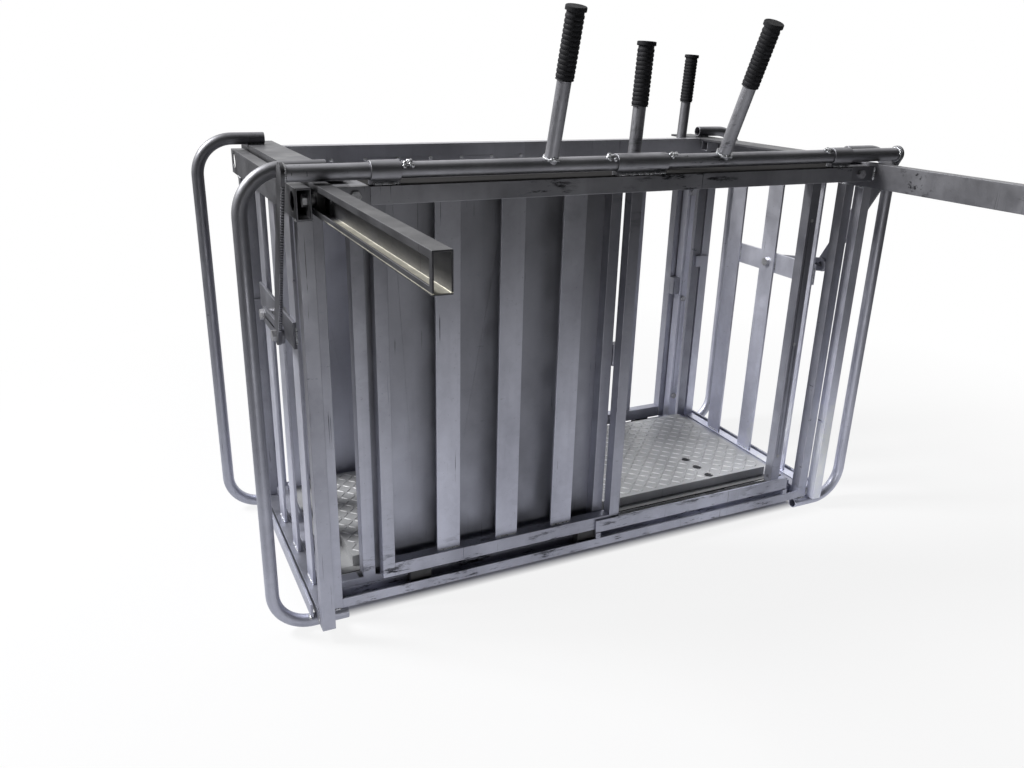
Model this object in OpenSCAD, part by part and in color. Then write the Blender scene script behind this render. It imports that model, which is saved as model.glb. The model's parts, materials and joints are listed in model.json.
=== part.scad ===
// Three-way drafting weigh crate for sheep: a welded tube crate with a sliding gate at each end,
// a sliding door in each side, two hand levers over the near rail and four stand-off corner loops.
// X runs along the crate, Y from the near side to the far side, Z up from the ground.

/* [Crate] */
// Clear length between the end posts
crate_length = 1160; // [1000:10:1400]
// Width over the end posts
crate_width = 540; // [480:10:640]
// Height of the rails and gate tracks above the ground
frame_top = 852; // [780:2:930]
// Side of the square posts and stiles
post = 25; // [20:1:30]
// Wall of the square and flat tubes
wall = 2; // [1.5:0.5:3]

/* [Corner loops] */
// Diameter of the loop tube
loop_tube = 25; // [20:1:32]
// Wall of the loop tube
loop_wall = 2.5; // [2:0.5:4]
// Distance from the inside of the posts to the upright of a loop
loop_standoff = 132; // [125:1:180]
// Bend radius of a loop at the middle of its tube
loop_bend = 75; // [50:1:90]
// Distance of a loop from the outside face of the posts
loop_inset = 5; // [2:1:12]

/* [Top rails] */
// Depth of a top rail across the crate
rail_depth = 75; // [60:1:90]
// Height of a top rail
rail_height = 30; // [25:1:40]
// Distance that a top rail stands out from the posts
rail_overhang = 70; // [60:1:80]
// Drop of the top rails below the tops of the gate tracks
rail_drop = 5; // [0:1:8]
// Length of the welded socket that holds a rail's end
socket_length = 62; // [50:1:80]
// Length of the spigot inside a rail's end
spigot_length = 96; // [70:2:120]
// Diameter of the rail bolts
rail_bolt = 10; // [8:1:12]

/* [Gate tracks] */
// Height of a gate track
track_height = 50; // [45:1:60]
// Wall of a gate track
track_wall = 2.5; // [2:0.5:3]
// Distance that the tracks stand out on the near side
track_reach = 580; // [560:5:700]
// Distance that the tracks stand out on the far side
track_back = 80; // [76:1:110]
// Height of the slot in a track
slot_height = 30; // [26:1:32]
// Distance of a track's slot from the ends of the track
slot_end = 9; // [6:1:20]
// Width of the plate on top of a track
top_plate_width = 65; // [55:1:75]
// Thickness of the plate on top of a track
top_plate = 5; // [3:1:8]

/* [End gates] */
// Running gap on each side of a gate
gate_gap = 5; // [4:0.5:8]
// Drop of a gate below the top of its track
gate_drop = 6; // [0:1:9]
// Length by which a gate is longer than the crate is wide
gate_overlap = 21; // [10:1:40]
// Length of the gate tube past the far stile
gate_tube_over = 69; // [62:1:75]
// Slats in a gate
gate_slats = 3; // [2:1:4]
// Width of the flat slats and crossbars
slat_width = 50; // [40:1:55]
// Thickness of the flat slats and crossbars
slat_thick = 6; // [4:1:8]
// Height of a gate's glide blocks
glide_height = 36; // [32:1:38]
// Width of a gate's glide blocks
glide_width = 12; // [10:1:13]
// Length of the glide blocks of gates and doors
glide_length = 44; // [30:1:50]
// Diameter of the hanger bolts and link pins
gate_bolt = 12; // [10:1:14]
// Distance of a gate's stop lug below its link pin
gate_lug_drop = 66; // [50:1:100]
// Distance of the hanger bolts from the ends of the gate tube
glide_set = 30; // [28:1:40]
// Diameter of the access holes for the hanger bolts
access_hole = 32; // [26:1:36]

/* [Levers] */
// Diameter of the lever shafts
shaft_d = 26.9; // [24:0.1:30]
// Outside diameter of the shaft bearings
bearing_d = 34; // [33:0.5:40]
// Distance of the shafts behind the front of the rail
shaft_set = 15; // [14:1:30]
// Distance of a lever from the middle of the crate
lever_x = 187; // [120:1:260]
// Length of a lever from the middle of its shaft
lever_length = 263; // [220:1:320]
// Diameter of the lever and handle tubes
lever_d = 25; // [22:1:26]
// Angle between a lever and the line of its crank
lever_set = 7.5; // [0:0.5:20]
// Length of a crank from its shaft to its bolt
crank_length = 318; // [280:1:330]
// Width of a crank
crank_width = 35; // [32:1:45]
// Lean of the left crank with its gate closed
left_crank_lean = 22.3; // [15:0.1:30]
// Lean of the right crank with its gate closed
right_crank_lean = 30.3; // [25:0.1:35]
// Lean of a crank the other way with its gate open
open_crank_lean = 48; // [30:1:50]
// Height from a gate's link pin up to the shafts
pin_drop = 298; // [285:1:310]
// Distance from a gate out to its link
link_gap = 10; // [2:1:16]
// Thickness of the cranks and links
crank_thick = 6; // [5:1:8]
// Width of a link
link_width = 32; // [28:1:40]
// Length of the bearings at the ends of the rail
end_bearing = 50; // [40:1:70]
// Length of the bearing in the middle of the rail
mid_bearing = 110; // [90:1:140]
// Distance of the end bearings from the end posts
end_bearing_set = 65; // [60:1:90]
// Length of a weld stop on a shaft
shaft_stop = 15; // [8:1:20]
// Wall of a lever shaft
shaft_wall = 3.2; // [2.5:0.1:4]

/* [Side doors] */
// Thickness of a door
door_thick = 25; // [20:1:28]
// Place of the middle stile along the crate
mid_stile_x = 1; // [-60:1:60]
// Distance of the left side stile from the end posts
left_stile_set = 53; // [40:1:80]
// Distance of the right side stile from the end posts
right_stile_set = 36; // [30:1:50]
// Length by which a door is longer than its travel
door_overlap = 74; // [65:1:100]
// Slats in a door
door_slats = 3; // [2:1:5]
// Thickness of the slats in a door
door_slat = 5; // [4:1:8]
// Height of the top and bottom rails of a door
door_rail = 30; // [25:1:40]
// Length of the near door's handle above its door
near_handle_length = 233; // [200:1:280]
// Length of the far door's handle above its door
far_handle_length = 216; // [200:1:280]
// Lean of a door handle along the crate
handle_lean = 3; // [0:0.5:5]
// Thickness of the side sheets
sheet = 2; // [1:0.5:3]
// Distance of the sheet rivets below the top of a side frame
rivet_drop = 31; // [20:1:40]
// Length of the stub tubes in the top corners of the side frames
stub_length = 34; // [25:1:38]
// Height of the bottom rail of a side frame
side_rail_height = 35; // [25:1:40]
// Diameter of the bolts in the right side stiles
stile_bolt = 8; // [6:1:10]
// Height of the lowest stile bolt above the base
stile_bolt_first = 110; // [80:1:200]
// Height of a door's stop lug above the base
door_lug_rise = 413; // [300:1:500]

/* [Grips] */
// Length of a rubber grip
grip_length = 115; // [100:1:130]
// Diameter of a grip over its ribs
grip_d = 32; // [30:0.5:36]
// Diameter of the flange at a grip's end
grip_flange = 36; // [34:0.5:40]
// Ribs round a grip
grip_ribs = 13; // [8:1:16]

/* [Base] */
// Height of the bottom channels
channel_height = 21; // [18:1:26]
// Wall of the bottom channels
channel_wall = 3; // [2:0.5:3]
// Height of the door guide strips
strip_height = 30; // [24:1:36]
// Gap between a bottom channel and its door guide strip
strip_gap = 13; // [4:1:16]
// Thickness of the door guide strips and gate lips
strip = 5; // [3:0.5:6]
// Height of the floor above the ground
floor_top = 85; // [80:1:100]
// Thickness of the floor plate
floor_plate_thick = 3; // [2:0.5:4]
// Depth of the floor's folded edge
floor_skirt = 26; // [20:1:30]
// Width of the floor bearers
bearer_width = 50; // [40:1:60]
// Distance of the outer bearers from the middle of the crate
bearer_x = 374; // [300:1:420]
// Diameter of the access holes in the floor
floor_hole = 22; // [18:1:26]
// Gap between the floor and the side sheets
floor_gap = 19; // [15:1:30]
// Gap between the floor and the end posts
floor_end_gap = 44; // [30:1:60]
// Width of the joists under the floor
joist_width = 30; // [25:1:40]
// Distance of the first load bar bolt hole from the floor's edge
load_bar_set = 17; // [15:1:30]
// Diameter of the load bar bolt holes in the bearers
load_bar_hole = 14; // [11:1:16]
// Distance between the load bar bolt holes
load_bar_pitch = 47.5; // [40:0.5:60]

/* [Hidden] */
$fn = 64;
// Clearance between sliding and turning faces
run = 0.3;
// Clearance of a bolt in its hole, on the diameter
bolt_room = 0.6;
// Small amount by which cutters pass a face
past = 1;

// Levels above the ground
base = loop_tube;
rail_top = frame_top - rail_drop;
rail_low = rail_top - rail_height;
track_low = frame_top - track_height;
sill_top = base + post;
plate_top = frame_top + top_plate;
shaft_z = frame_top + bearing_d / 2;
pin_z = shaft_z - pin_drop;

// Places along the crate, for the right end
post_in = crate_length / 2;
post_out = post_in + post;
gate_in = post_out + gate_gap;
gate_out = gate_in + post;
gate_mid = (gate_in + gate_out) / 2;
lip_in = gate_out + gate_gap;
lip_out = lip_in + strip;
link_in = gate_out + link_gap;
link_out = link_in + crank_thick;
crank_in = link_out + 2 * run;
crank_out = crank_in + crank_thick;
plate_in = post_out - top_plate_width;
loop_x = post_in + loop_standoff;
bend_x = loop_x - loop_bend;
bend_in = loop_bend - loop_tube / 2;
lip_rise = bend_in - sqrt(bend_in ^ 2 - max(0, lip_out - bend_x) ^ 2);

// Places across the crate: the origin is midway between the ends of the tracks
near_y = (track_reach - track_back - crate_width) / 2;
far_y = near_y + crate_width;

// Places inward from the outside of the posts, alike on both sides
rail_front = -rail_overhang;
rail_back = rail_front + rail_depth;
door_front = rail_back + 10 * run;
door_back = door_front + door_thick;
side_front = door_back + 10 * run;
side_back = side_front + post;
sheet_back = side_back + sheet;
strip_front = door_front - 0.5 - strip;
floor_near = sheet_back + floor_gap;
flange_near = sheet_back + 2 * run;
flange_half = post_in - 2 * run;
corner_low = frame_top - post - 2 * run;
side_rail_top = base + side_rail_height;

// Shaft axis on the near side, and what the crank, link and gate do at a lean
shaft_y = rail_front + shaft_set;
shaft_in = 2;
bearing_out = post_in - end_bearing_set;
bearing_in = bearing_out - end_bearing;
shaft_stop_gap = 3;
stop_d = 10;
stop_rise = shaft_d / 2 - 2;
stop_turn = 25;
seat_width = 16;
seat_top = shaft_z - bearing_d / 2 + 1.5;
gate_length = crate_width + gate_overlap;
stop_gap = 3 * run;
closed_pin_y = gate_length / 2 - gate_overlap - stop_gap;
function crank_y(lean) = shaft_y + crank_length * sin(lean);
function crank_rise(lean) = pin_drop - crank_length * cos(lean);
link_length = norm([closed_pin_y - crank_y(right_crank_lean), crank_rise(right_crank_lean)]);
function pin_y(lean) = crank_y(lean) + sqrt(link_length ^ 2 - crank_rise(lean) ^ 2);
function link_tilt(lean) = asin(crank_rise(lean) / link_length);
function lean_of(side) = side < 0 ? left_crank_lean : right_crank_lean;
function gate_near(side) = pin_y(lean_of(side)) - gate_length / 2;
gate_tube = gate_length + gate_tube_over;
gate_low = base + 1;
gate_top = frame_top - gate_drop;
gate_tube_low = gate_top - track_height;
gate_rail_top = gate_low + post;
slat_in = gate_mid - slat_thick + 0.5;
crossbar_in = slat_in + slat_thick;
glide_z = track_low + track_wall + run + glide_height / 2;
glide_in = post_in + track_wall + 4.5;
lug_height = 30;
lug_thick = 8;
lug_low = pin_z - gate_lug_drop;

// Places of the side stiles and of a door at its open stop
mid_stile_end = mid_stile_x + post;
right_stile = post_in - right_stile_set - post;
left_stile = -post_in + left_stile_set;
door_lug = 18;
door_lug_x = mid_stile_end + 0.5;
door_travel = right_stile - 0.5 - door_lug_x - door_lug;
door_width = door_travel + door_overlap;
door_right = door_lug_x + 2.5 + post;
door_left = door_right - door_width;
door_low = base + 40;
door_top = frame_top - 7;
door_lug_low = base + door_lug_rise;
door_lug_height = 47;
stile_bolt_low = base + stile_bolt_first;
stile_bolt_high = frame_top - base - stile_bolt_first;
shoe_low = base + channel_wall + run;
shoe_width = 20;
shoe_set = 80;

// Floor and bearers
bearer_top = floor_top - floor_skirt;
floor_half = post_in - floor_end_gap;
floor_far = crate_width - floor_near;
first_load_bar_hole = floor_near + load_bar_set;
bearer_places = [-bearer_x, 0, bearer_x];
notch_room = 2;

// Colours of the finishes
steel = [0.56, 0.57, 0.60];
bright_steel = [0.70, 0.71, 0.73];
plate_steel = [0.60, 0.62, 0.62];
rubber = [0.07, 0.07, 0.08];
nylon = [0.12, 0.12, 0.13];

// Shared shapes

module bar(low, high) {
    translate(low)
        cube(high - low);
}

// Square or flat tube along X, open at both ends
module tube_x(low, high, t) {
    difference() {
        bar(low, high);
        bar(low + [-past, t, t], high + [past, -t, -t]);
    }
}

// Square or flat tube along Y, open at both ends
module tube_y(low, high, t) {
    difference() {
        bar(low, high);
        bar(low + [t, -past, t], high + [-t, past, -t]);
    }
}

// Square tube along Z, open at both ends
module tube_z(low, high, t) {
    difference() {
        bar(low, high);
        bar(low + [t, t, -past], high + [-t, -t, past]);
    }
}

// Round bar along X between two places
module rod_x(x0, x1, d) {
    translate([x0, 0, 0])
        rotate([0, 90, 0])
            cylinder(h = x1 - x0, d = d);
}

// Round bar along Y between two places
module rod_y(y0, y1, d) {
    translate([0, y0, 0])
        rotate([-90, 0, 0])
            cylinder(h = y1 - y0, d = d);
}

// Six-sided bolt head or nut along X
module hex_x(x0, x1, across) {
    translate([x0, 0, 0])
        rotate([0, 90, 0])
            cylinder(h = x1 - x0, d = across / cos(30), $fn = 6);
}

// Six-sided bolt head or nut along Y
module hex_y(y0, y1, across) {
    translate([0, y0, 0])
        rotate([-90, 0, 0])
            cylinder(h = y1 - y0, d = across / cos(30), $fn = 6);
}

// Frames of reference: a side counts inward from its posts, an end is drawn as the right one
module near_side() {
    translate([0, near_y, 0])
        children();
}

module far_side() {
    translate([0, far_y, 0])
        mirror([0, 1, 0])
            children();
}

module both_sides() {
    near_side()
        children();
    far_side()
        children();
}

module at_end(side) {
    mirror([side < 0 ? 1 : 0, 0, 0])
        children();
}

module both_ends() {
    for (side = [-1, 1])
        at_end(side)
            children();
}

module gate_place(side) {
    at_end(side)
        translate([0, near_y + gate_near(side), 0])
            children();
}

module lever_place(side, lean) {
    at_end(side)
        translate([0, near_y + shaft_y, shaft_z])
            rotate([lean, 0, 0])
                children();
}

// End frames

module gate_track(side) {
    slot_low = track_low + (track_height - slot_height) / 2;
    color(steel)
        at_end(side)
            near_side()
                difference() {
                    tube_y([post_in, -track_reach, track_low],
                        [post_out, crate_width + track_back, frame_top], track_wall);
                    bar([post_out - track_wall - past, -track_reach + slot_end, slot_low],
                        [post_out + past, crate_width + track_back - slot_end, slot_low + slot_height]);
                }
}

module end_posts() {
    color(steel)
        both_ends()
            both_sides()
                tube_z([post_in, 0, base], [post_out, post, track_low], wall);
}

module end_sills() {
    color(steel)
        both_ends()
            near_side()
                tube_y([post_in, post, base], [post_out, crate_width - post, sill_top], wall);
}

module end_top_plates() {
    color(steel)
        both_ends()
            near_side()
                bar([plate_in, shaft_y + 25, frame_top],
                    [post_out, crate_width + rail_overhang, plate_top]);
}

// Outer lip that keeps the bottom of a gate in, welded on the lower runs of the loops
module gate_guide_lips() {
    color(steel)
        both_ends()
            near_side()
                bar([lip_in, loop_inset - loop_tube / 2, base + lip_rise],
                    [lip_out, crate_width - loop_inset + loop_tube / 2, base + strip_height]);
}

// One corner loop: lower run under the posts, upright, upper run on the top plate
module loop() {
    low = loop_tube / 2;
    high = plate_top + loop_tube / 2;
    inner_d = loop_tube - 2 * loop_wall;
    translate([0, loop_inset, 0]) {
        for (z = [low, high])
            translate([0, 0, z])
                difference() {
                    rod_x(post_in - 10, bend_x, loop_tube);
                    rod_x(post_in - 10 - past, bend_x + past, inner_d);
                }
        translate([loop_x, 0, low + loop_bend])
            difference() {
                cylinder(h = high - low - 2 * loop_bend, d = loop_tube);
                translate([0, 0, -past])
                    cylinder(h = high - low - 2 * loop_bend + 2 * past, d = inner_d);
            }
        for (bend = [[low + loop_bend, -90], [high - loop_bend, 0]])
            translate([bend_x, 0, bend[0]])
                rotate([90, 0, 0])
                    rotate([0, 0, bend[1]])
                        rotate_extrude(angle = 90)
                            translate([loop_bend, 0])
                                difference() {
                                    circle(d = loop_tube);
                                    circle(d = inner_d);
                                }
    }
}

module end_loops(side) {
    color(bright_steel)
        at_end(side)
            both_sides()
                loop();
}

// Top rails with the sockets and bolts that hold them

module rail_bolt_hole() {
    for (side = [-1, 1])
        translate([side * (post_in - socket_length * 0.6), 0, rail_low + rail_height / 2])
            rod_y(rail_front - past, rail_front + 4 * wall, rail_bolt + bolt_room);
}

module top_rail() {
    rail_half = post_in - socket_length;
    grip_in = wall + run;
    tube_x([-rail_half, rail_front, rail_low], [rail_half, rail_back, rail_top], wall);
    difference() {
        for (side = [-1, 1])
            translate([side * rail_half, 0, 0])
                tube_x([-spigot_length / 2, rail_front + grip_in, rail_low + grip_in],
                    [spigot_length / 2, rail_back - grip_in, rail_top - grip_in], wall);
        rail_bolt_hole();
    }
}

module near_top_rail() {
    color(steel)
        near_side()
            top_rail();
}

module far_top_rail() {
    color(steel)
        far_side()
            top_rail();
}

module rail_sockets() {
    color(steel)
        both_sides()
            difference() {
                both_ends()
                    tube_x([post_in - socket_length, rail_front, rail_low],
                        [post_in, rail_back, rail_top], wall);
                rail_bolt_hole();
            }
}

module rail_bolts() {
    nut_y = rail_front + 2 * wall + run;
    color(bright_steel)
        both_sides()
            for (side = [-1, 1])
                translate([side * (post_in - socket_length * 0.6), 0, rail_low + rail_height / 2]) {
                    hex_y(rail_front - 6, rail_front, rail_bolt * 1.6);
                    rod_y(rail_front, nut_y + 10, rail_bolt);
                    hex_y(nut_y, nut_y + 8, rail_bolt * 1.6);
                }
}

// Side frames

module bottom_channels() {
    channel_back = side_front;
    color(steel)
        both_sides()
            difference() {
                bar([-post_in, 0, base], [post_in, channel_back, base + channel_height]);
                bar([-post_in - past, channel_wall, base + channel_wall],
                    [post_in + past, channel_back - channel_wall, base + channel_height + past]);
            }
}

// Side frame with a flat cap on its top tube and an open stub tube in each top corner
module side_frame() {
    tube_x([-post_in, side_front, base], [post_in, side_back, side_rail_top], wall);
    tube_x([-post_in, side_front, track_low], [post_in, side_back, frame_top], wall);
    bar([-plate_in, side_front, frame_top], [plate_in, side_back, plate_top]);
    for (x = [-post_in, post_in - stub_length])
        tube_x([x, side_back, frame_top - post], [x + stub_length, side_back + post, frame_top], wall);
    for (x = [left_stile, mid_stile_x])
        tube_z([x, side_front, side_rail_top], [x + post, side_back, track_low], wall);
    difference() {
        tube_z([right_stile, side_front, side_rail_top], [right_stile + post, side_back, track_low], wall);
        stile_bolt_places()
            rod_y(side_front - past, side_back + past, stile_bolt + bolt_room);
    }
}

module stile_bolt_places() {
    for (part = [0, 1, 2])
        translate([right_stile + post / 2, 0, stile_bolt_low + part * (stile_bolt_high - stile_bolt_low) / 2])
            children();
}

module near_side_frame() {
    color(steel)
        near_side()
            side_frame();
}

module far_side_frame() {
    color(steel)
        far_side()
            side_frame();
}

// Dome-headed bolts through the right stiles, heads on the inside
module stile_bolts() {
    color(bright_steel)
        both_sides()
            stile_bolt_places() {
                rod_y(side_front, side_back, stile_bolt);
                rod_y(side_back, side_back + stile_bolt * 0.6, stile_bolt * 1.9);
            }
}

// Side sheet from the left stile to the middle one; the far one also reaches the left post
module side_sheet(reach) {
    difference() {
        union() {
            bar([left_stile, side_back, base + 10], [mid_stile_end, sheet_back, plate_top]);
            if (reach > 0)
                bar([left_stile - reach, side_back, base + 10], [left_stile + post, sheet_back, corner_low]);
        }
        rivet_places()
            rod_y(side_back - past, sheet_back + past, 5);
        for (x = bearer_places)
            bar([x - bearer_width / 2 - notch_room, side_back - past, base],
                [x + bearer_width / 2 + notch_room, sheet_back + past, bearer_top + notch_room]);
    }
}

module rivet_places() {
    rivets = 8;
    first = left_stile + 10;
    pitch = (mid_stile_end - 10 - first) / (rivets - 1);
    for (i = [0:rivets - 1])
        translate([first + i * pitch, 0, plate_top - rivet_drop])
            children();
}

module near_side_sheet() {
    color(steel)
        near_side()
            side_sheet(0);
}

module far_side_sheet() {
    color(steel)
        far_side()
            side_sheet(left_stile_set - 2 * run);
}

module sheet_rivets() {
    color(bright_steel)
        both_sides()
            rivet_places() {
                rod_y(side_back, sheet_back, 4.6);
                rod_y(sheet_back, sheet_back + 1.6, 9);
            }
}

// Strip over the channel's lip that keeps the bottom of a closed door in, on two packing pieces
module door_guide_strips() {
    strip_low = base + channel_height + strip_gap;
    x0 = mid_stile_x - 8;
    x1 = right_stile + post - 3;
    packing = 12;
    color(steel)
        both_sides() {
            bar([x0, strip_front, strip_low], [x1, strip_front + strip, strip_low + strip_height]);
            for (x = [x0, x1 - packing])
                bar([x, 0, base + channel_height], [x + packing, strip_front + strip, strip_low]);
        }
}

// Floor

module load_bar_places() {
    for (x = [-bearer_x, bearer_x])
        for (i = [0:2])
            translate([x, first_load_bar_hole + i * load_bar_pitch, 0])
                children();
}

// Floor plate with folded edges, and a flange at the foot of each edge
module floor_plate() {
    t = floor_plate_thick;
    color(plate_steel)
        near_side()
            difference() {
                union() {
                    bar([-floor_half, floor_near, bearer_top], [floor_half, floor_far, floor_top]);
                    bar([-flange_half, flange_near, bearer_top],
                        [flange_half, crate_width - flange_near, bearer_top + t]);
                }
                bar([-floor_half + t, floor_near + t, bearer_top - past],
                    [floor_half - t, floor_far - t, floor_top - t]);
                load_bar_places()
                    translate([0, 0, floor_top - 2 * t])
                        cylinder(h = 3 * t, d = floor_hole);
            }
}

// Cross bearers between the side frames
module floor_bearers() {
    color(steel)
        near_side()
            difference() {
                for (x = bearer_places)
                    tube_y([x - bearer_width / 2, side_back, base],
                        [x + bearer_width / 2, crate_width - side_back, bearer_top], wall);
                load_bar_places()
                    translate([0, 0, base - past])
                        cylinder(h = bearer_top - base + 2 * past, d = load_bar_hole);
            }
}

// Joists on the bearers, under the floor plate and clear of the load bar holes
module floor_joists() {
    joist_half = floor_half - floor_plate_thick - 1;
    color(steel)
        near_side()
            for (part = [2, 3])
                translate([0, floor_near + (floor_far - floor_near) * part / 4 - joist_width / 2, 0])
                    tube_x([-joist_half, 0, bearer_top],
                        [joist_half, joist_width, floor_top - floor_plate_thick], wall);
}

// Levers

// Bearing tubes, each on a seat welded to the near rail
module shaft_bearings() {
    color(steel)
        translate([0, near_y + shaft_y, shaft_z])
            for (span = [[-bearing_out, -bearing_in], [-mid_bearing / 2, mid_bearing / 2],
                    [bearing_in, bearing_out]])
                difference() {
                    union() {
                        rod_x(span[0], span[1], bearing_d);
                        bar([span[0], -seat_width / 2, rail_top - shaft_z],
                            [span[1], seat_width / 2, seat_top - shaft_z]);
                    }
                    rod_x(span[0] - past, span[1] + past, shaft_d + 2 * run);
                }
}

// Shaft with its two weld stops, which keep it between the bearings
module lever_shaft(side) {
    color(steel)
        lever_place(side, 0)
            difference() {
                union() {
                    rod_x(shaft_in, crank_in, shaft_d);
                    for (x = [mid_bearing / 2 + shaft_stop_gap, bearing_in - shaft_stop_gap - shaft_stop])
                        rotate([stop_turn, 0, 0])
                            translate([0, 0, stop_rise])
                                rod_x(x, x + shaft_stop, stop_d);
                }
                rod_x(shaft_in - past, crank_in + past, shaft_d - 2 * shaft_wall);
            }
}

module lever_tube(side) {
    color(bright_steel)
        lever_place(side, lean_of(side) - lever_set)
            translate([lever_x, 0, 0])
                difference() {
                    cylinder(h = lever_length - 6, d = lever_d);
                    translate([0, 0, -past])
                        cylinder(h = lever_length, d = lever_d - 2 * wall);
                    rod_x(-lever_d, lever_d, shaft_d + 0.1);
                }
}

// Ribbed rubber sleeve with a closed, flanged end, standing on z = 0
module grip() {
    r = grip_d / 2;
    pitch = (grip_length - 14) / grip_ribs;
    rib = [[r - 1.2, 0], [r, 0.3], [r, 0.7]];
    ribs = [for (i = [0:grip_ribs - 1], p = rib) [p[0], 2 + pitch * (i + p[1])]];
    bore = lever_d / 2 + 0.2;
    outline = concat(
        [[bore, 0], [r, 0]],
        ribs,
        [[r - 1.2, grip_length - 12], [r - 1.2, grip_length - 8], [grip_flange / 2, grip_length - 7],
            [grip_flange / 2, grip_length - 1], [grip_flange / 2 - 1, grip_length], [0, grip_length],
            [0, grip_length - 6], [bore, grip_length - 6]]);
    rotate_extrude()
        polygon(outline);
}

module lever_grip(side) {
    color(rubber)
        lever_place(side, lean_of(side) - lever_set)
            translate([lever_x, 0, lever_length - grip_length])
                grip();
}

// Flat bar with round ends along -Z, with an eye at its far end
module round_bar(x0, x1, length, width, eye) {
    difference() {
        union() {
            rod_x(x0, x1, width);
            bar([x0, -width / 2, -length], [x1, width / 2, 0]);
            translate([0, 0, -length])
                rod_x(x0, x1, width);
        }
        translate([0, 0, -length])
            rod_x(x0 - past, x1 + past, eye);
    }
}

module crank(side) {
    color(steel)
        lever_place(side, lean_of(side))
            round_bar(crank_in, crank_out, crank_length, crank_width, gate_bolt + bolt_room);
}

// Crank bolt: its end stops short of the link, where the linkage is open
module crank_bolt(side) {
    color(bright_steel)
        lever_place(side, lean_of(side))
            translate([0, 0, -crank_length]) {
                rod_x(crank_in, crank_out, gate_bolt);
                hex_x(crank_out, crank_out + 8, gate_bolt * 1.55);
            }
}

// Flat link from a gate's pin to the end of its crank
module link(side) {
    color(steel)
        gate_place(side)
            translate([0, gate_length / 2, pin_z])
                rotate([-90 - link_tilt(lean_of(side)), 0, 0])
                    difference() {
                        round_bar(link_in, link_out, link_length, link_width, gate_bolt + bolt_room);
                        rod_x(link_in - past, link_out + past, gate_bolt + 2 * run);
                    }
}

// Gates

module gate_top_tube(side) {
    color(steel)
        gate_place(side)
            difference() {
                tube_y([gate_in, 0, gate_tube_low], [gate_out, gate_tube, gate_top], track_wall);
                for (v = [glide_set, gate_tube - glide_set])
                    translate([0, v, glide_z]) {
                        rod_x(gate_in - past, gate_in + track_wall + past, gate_bolt + bolt_room);
                        rod_x(gate_out - track_wall - past, gate_out + past, access_hole);
                    }
            }
}

// Two stiles, and the stop lug that meets the far post when the gate is closed
module gate_stiles(side) {
    color(steel)
        gate_place(side) {
            for (v = [0, gate_length - post])
                tube_z([gate_in, v, gate_low], [gate_out, v + post, gate_tube_low], wall);
            bar([post_out - 15, gate_length - post - lug_thick, lug_low],
                [gate_in + 18, gate_length - post, lug_low + lug_height]);
        }
}

module gate_slat_bars(side) {
    pitch = (gate_length - post) / (gate_slats + 1);
    color(bright_steel)
        gate_place(side)
            difference() {
                for (i = [1:gate_slats])
                    translate([0, post / 2 + i * pitch - slat_width / 2, 0])
                        bar([slat_in, 0, gate_rail_top], [slat_in + slat_thick, slat_width, gate_tube_low]);
                link_pin_hole();
            }
}

module link_pin_hole() {
    translate([0, gate_length / 2, pin_z])
        rod_x(slat_in - past, link_in, gate_bolt + bolt_room);
}

// Bottom rail between the stiles, and the crossbar on the outside of the slats
module gate_rails(side) {
    pitch = (gate_length - post) / (gate_slats + 1);
    bar_near = post / 2 + pitch - slat_width / 2;
    bar_far = gate_length - bar_near;
    color(steel)
        gate_place(side) {
            tube_y([gate_in, post, gate_low], [gate_out, gate_length - post, gate_rail_top], wall);
            difference() {
                bar([crossbar_in, bar_near, pin_z - slat_width / 2],
                    [crossbar_in + slat_thick, bar_far, pin_z + slat_width / 2]);
                link_pin_hole();
            }
        }
}

module hanger_places() {
    for (v = [glide_set, gate_tube - glide_set])
        translate([0, v, glide_z])
            children();
}

// Nylon blocks that slide inside the track and carry the gate
module gate_glides(side) {
    color(nylon)
        gate_place(side)
            hanger_places()
                difference() {
                    bar([glide_in, -glide_length / 2, -glide_height / 2],
                        [glide_in + glide_width, glide_length / 2, glide_height / 2]);
                    rod_x(glide_in - past, glide_in + glide_width + past, gate_bolt + bolt_room);
                }
}

// Hanger bolts with their spacers and flanges, and the link pin
module gate_bolts(side) {
    color(bright_steel)
        gate_place(side) {
            hanger_places() {
                rod_x(glide_in, gate_in + track_wall, gate_bolt);
                rod_x(glide_in - 3.5, glide_in, gate_bolt + 6);
                rod_x(glide_in + glide_width + run, gate_in, gate_bolt + 6);
                hex_x(gate_in + track_wall, gate_in + track_wall + 7, gate_bolt * 1.55);
            }
            translate([0, gate_length / 2, pin_z]) {
                hex_x(slat_in - 8, slat_in, gate_bolt * 1.55);
                rod_x(slat_in, link_out + run, gate_bolt);
                rod_x(crossbar_in + slat_thick, link_in - run, gate_bolt + 8);
                hex_x(link_out + run, link_out + 7, gate_bolt * 1.55);
            }
        }
}

// Doors, drawn at the near side with the door slid to its open stop

module door_stiles() {
    for (x = [door_left, door_right - post])
        tube_z([x, door_front, door_low], [x + post, door_back, door_top], wall);
    bar([door_lug_x, door_back, door_lug_low],
        [door_lug_x + door_lug, door_back + 22, door_lug_low + door_lug_height]);
}

module door_slat_bars() {
    pitch = (door_width - post) / (door_slats + 1);
    middle = (door_front + door_back) / 2;
    for (i = [1:door_slats])
        translate([door_left + post / 2 + i * pitch - slat_width / 2, 0, 0])
            bar([0, middle - door_slat / 2, door_low + door_rail],
                [slat_width, middle + door_slat / 2, door_top - door_rail]);
}

module door_rails() {
    for (z = [door_low, door_top - door_rail])
        tube_x([door_left + post, door_front, z], [door_right - post, door_back, z + door_rail], wall);
}

// Nylon shoes under the bottom rail that slide along the bottom channel
module door_glides() {
    middle = (door_front + door_back) / 2;
    for (x = [door_left + shoe_set, door_right - shoe_set])
        bar([x - glide_length / 2, middle - shoe_width / 2, shoe_low],
            [x + glide_length / 2, middle + shoe_width / 2, door_low]);
}

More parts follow.
